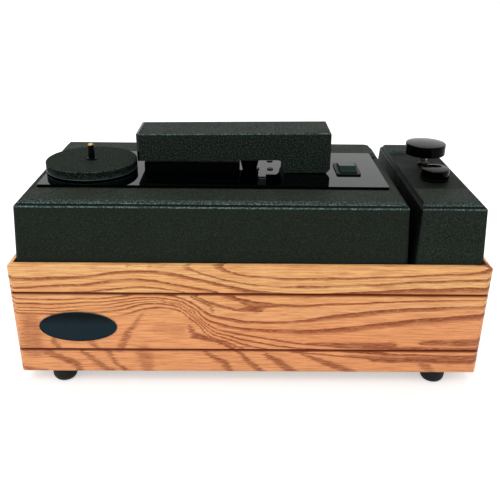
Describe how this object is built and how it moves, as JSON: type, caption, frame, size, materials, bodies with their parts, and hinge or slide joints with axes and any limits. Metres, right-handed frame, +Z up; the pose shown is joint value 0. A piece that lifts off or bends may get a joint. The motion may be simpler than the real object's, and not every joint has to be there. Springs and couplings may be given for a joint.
{
  "type": "record cleaning machine",
  "caption": "Table-top record cleaning machine: oak case, black covers, label-sized platter, lifting suction arm, rocker switch, fluid pump knob and filler cap.",
  "frame": {"origin": "middle of the case's footprint, at the bottom of the feet", "axes": "+X to the right along the front, +Y towards the back, +Z up"},
  "size_m": [0.488, 0.251, 0.25],
  "materials": {
    "oak": "satin",
    "softwood": "raw",
    "black_board": "painted",
    "rubber_black": "matte",
    "screw_steel": "satin",
    "screw_black": "satin",
    "badge": "gloss",
    "grained_abs": "leather grain",
    "arm_black": "fine grain",
    "black_acrylic": "gloss",
    "platter_black": "satin",
    "mat_rubber": "ribbed matte",
    "black_plastic": "satin",
    "gloss_black": "gloss",
    "brass": "polished",
    "bronze": "satin",
    "plated_rod": "polished",
    "motor_grey": "satin",
    "velvet": "velvet",
    "hose_rubber": "matte",
    "line_vinyl": "clear",
    "natural_plastic": "translucent",
    "spring_steel": "bright",
    "sheet_grey": "satin",
    "cast_aluminium": "cast"
  },
  "bodies": {
    "case": {"oak_front_board": "oak", "oak_back_board": "oak", "oak_left_board": "oak", "oak_right_board": "oak", "corner_blocks": "softwood", "divider_board": "black_board", "bottom_panel": "softwood", "rubber_feet": "rubber_black", "foot_screws": "screw_steel", "badge_plate": "badge", "deck_cover": "grained_abs", "tank_cover": "grained_abs", "acrylic_plate": "black_acrylic", "plate_screws": "screw_black", "shaft_bearing": "bronze", "platter_motor": "motor_grey", "motor_bracket": "screw_steel", "motor_screws": "screw_steel", "hinge_bracket": "screw_steel", "bracket_screws": "screw_steel", "lower_suction_head": "black_plastic", "lower_velvet_lips": "velvet", "lower_fluid_pad": "velvet", "arm_rest": "rubber_black", "suction_port": "black_plastic", "port_gasket": "rubber_black", "switch_housing": "black_plastic", "pump_spring": "spring_steel", "pump_barrel": "natural_plastic", "pump_collar": "black_plastic", "fluid_tank": "natural_plastic", "waste_tank": "natural_plastic", "blower_housing": "sheet_grey", "blower_motor": "motor_grey", "vacuum_hoses": "hose_rubber", "fluid_line": "line_vinyl", "power_inlet": "black_plastic", "fuse_holder": "black_plastic", "exhaust_grille": "black_plastic", "drain_spigot": "black_plastic"},
    "platter": {"platter_disc": "platter_black", "platter_mat": "mat_rubber", "spindle_sleeve": "black_plastic", "spindle_shaft": "brass"},
    "arm": {"arm_casing": "arm_black", "arm_end_plate": "black_acrylic", "arm_base_plate": "black_acrylic", "hinge_pin": "screw_steel", "upper_suction_head": "black_plastic", "upper_velvet_lips": "velvet", "upper_fluid_pad": "velvet", "arm_suction_hose": "hose_rubber"},
    "rocker": {"switch_rocker": "black_plastic"},
    "pump": {"pump_knob": "gloss_black", "pump_rod": "plated_rod", "pump_piston": "natural_plastic"},
    "cap": {"filler_cap": "gloss_black", "cap_gasket": "rubber_black"},
    "plug": {"drain_plug": "rubber_black"},
    "fan": {"blower_impeller": "cast_aluminium"}
  },
  "joints": [
    {"name": "platter_spin", "type": "hinge", "parent": "case", "child": "platter", "pos_m": [-0.1762, -0.0035, 0.2155], "axis": [0, 0, 1], "continuous": true},
    {"name": "arm_lift", "type": "hinge", "parent": "case", "child": "arm", "pos_m": [0.0783, 0.011, 0.2227], "axis": [0, 1, 0], "range_deg": [0, 70]},
    {"name": "switch_rock", "type": "hinge", "parent": "case", "child": "rocker", "pos_m": [0.1077, -0.0024, 0.2043], "axis": [1, 0, 0], "range_deg": [-8, 8], "stiffness_Nm_per_rad": 0.05},
    {"name": "pump_stroke", "type": "slide", "parent": "case", "child": "pump", "axis": [0, 0, -1], "range_m": [0, 0.01], "stiffness_N_per_m": 300, "springref_m": -0.01, "deforming": ["pump_spring"]},
    {"name": "cap_lift", "type": "slide", "parent": "case", "child": "cap", "axis": [0, 0, 1], "range_m": [0, 0.03]},
    {"name": "drain_plug_pull", "type": "slide", "parent": "case", "child": "plug", "axis": [0, 1, 0], "range_m": [0, 0.018]},
    {"name": "blower_spin", "type": "hinge", "parent": "case", "child": "fan", "pos_m": [0.02, 0.02, 0.05], "axis": [0, 0, 1], "continuous": true}
  ]
}
